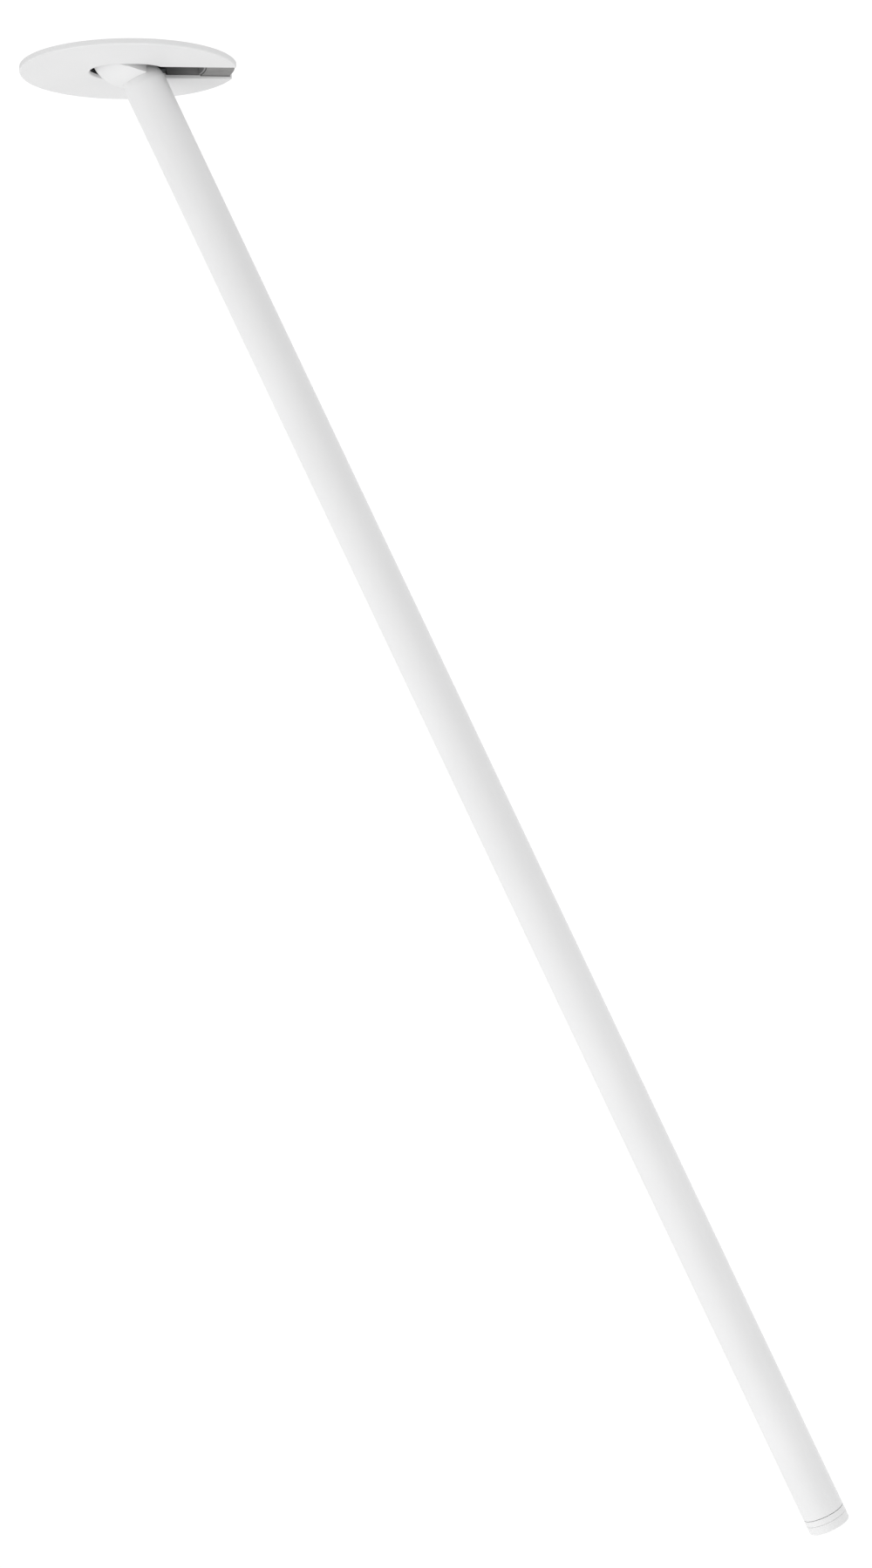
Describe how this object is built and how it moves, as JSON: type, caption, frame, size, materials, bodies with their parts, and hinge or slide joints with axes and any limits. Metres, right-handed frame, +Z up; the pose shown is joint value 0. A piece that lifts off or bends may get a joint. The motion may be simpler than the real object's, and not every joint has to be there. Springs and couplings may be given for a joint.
{
  "type": "adjustable ceiling stick light",
  "caption": "Slim white stick spotlight on a recessed ceiling swivel: round slotted cover, ball knuckle, long tilting tube, fine end ring.",
  "frame": {"origin": "centre of the ceiling plane, at the back of the mounting ring, on the swivel axis", "axes": "+Z up into the ceiling along the swivel axis; +X the way the tube leans and the cover's slot runs"},
  "size_m": [0.4609, 0.125, 0.9591],
  "materials": {
    "white_paint": "fine satin powder coat",
    "zinc_steel": "zinc plated, dull",
    "ring_phosphate": "dark grey phosphate",
    "dark_lining": "matt black lining",
    "screw_steel": "bright zinc",
    "spring_steel": "oiled",
    "brass_turned": "turned",
    "slip_plastic": "natural low-friction plastic",
    "box_plastic": "moulded",
    "terminal_plastic": "moulded",
    "lead_insulation": "smooth insulation",
    "magnet_nickel": "nickel plated",
    "bare_aluminium": "turned, plain",
    "board_laminate": "white solder resist",
    "light_phosphor": "phosphor coated",
    "holder_plastic": "moulded",
    "clear_lens": "polished",
    "front_glass": "lightly frosted",
    "seal_rubber": "matt"
  },
  "bodies": {
    "ceiling_base": {"mounting_ring": "ring_phosphate", "recess_cup": "ring_phosphate", "swivel_nipple": "zinc_steel", "lock_nuts": "zinc_steel", "swivel_nut": "brass_turned", "swivel_washers": "slip_plastic", "swivel_spring": "spring_steel", "stop_pin": "zinc_steel", "junction_box": "box_plastic", "box_screws": "screw_steel", "cable_gland": "box_plastic", "gland_nut": "box_plastic", "terminal_block": "terminal_plastic", "terminal_screws": "screw_steel", "earth_screw": "brass_turned", "supply_leads": "lead_insulation"},
    "turntable": {"turntable_plate": "zinc_steel", "stop_screw": "screw_steel", "yoke": "zinc_steel", "yoke_screws": "screw_steel", "pivot_pin": "screw_steel", "pivot_nut": "screw_steel", "disc_spring": "spring_steel", "friction_discs": "slip_plastic", "cover_carrier": "zinc_steel", "carrier_posts": "zinc_steel", "carrier_screws": "screw_steel", "magnets": "magnet_nickel", "slot_shroud": "dark_lining", "shroud_rivets": "screw_steel"},
    "cover": {"cover_disc": "white_paint", "keeper_discs": "zinc_steel", "guide_pins": "zinc_steel"},
    "arm": {"pivot_ball": "white_paint", "pivot_bushes": "slip_plastic", "neck_spigot": "bare_aluminium", "arm_tube": "white_paint", "grub_screws": "screw_steel", "lamp_leads": "lead_insulation", "heat_sink": "bare_aluminium", "light_board": "board_laminate", "light_source": "light_phosphor", "board_screws": "screw_steel", "lens_holder": "holder_plastic", "lens": "clear_lens", "front_ring": "white_paint", "front_glass": "front_glass", "glass_seal": "seal_rubber"}
  },
  "joints": [
    {"name": "canopy_turn", "type": "hinge", "parent": "ceiling_base", "child": "turntable", "pos_m": [0, 0, 0.043], "axis": [0, 0, 1], "range_deg": [-168, 168]},
    {"name": "cover_lower", "type": "slide", "parent": "turntable", "child": "cover", "axis": [0, 0, -1], "range_m": [0, 0.012]},
    {"name": "arm_tilt", "type": "hinge", "parent": "turntable", "child": "arm", "pos_m": [0, 0, 0.0105], "axis": [0, -1, 0], "range_deg": [-24, 31]}
  ]
}
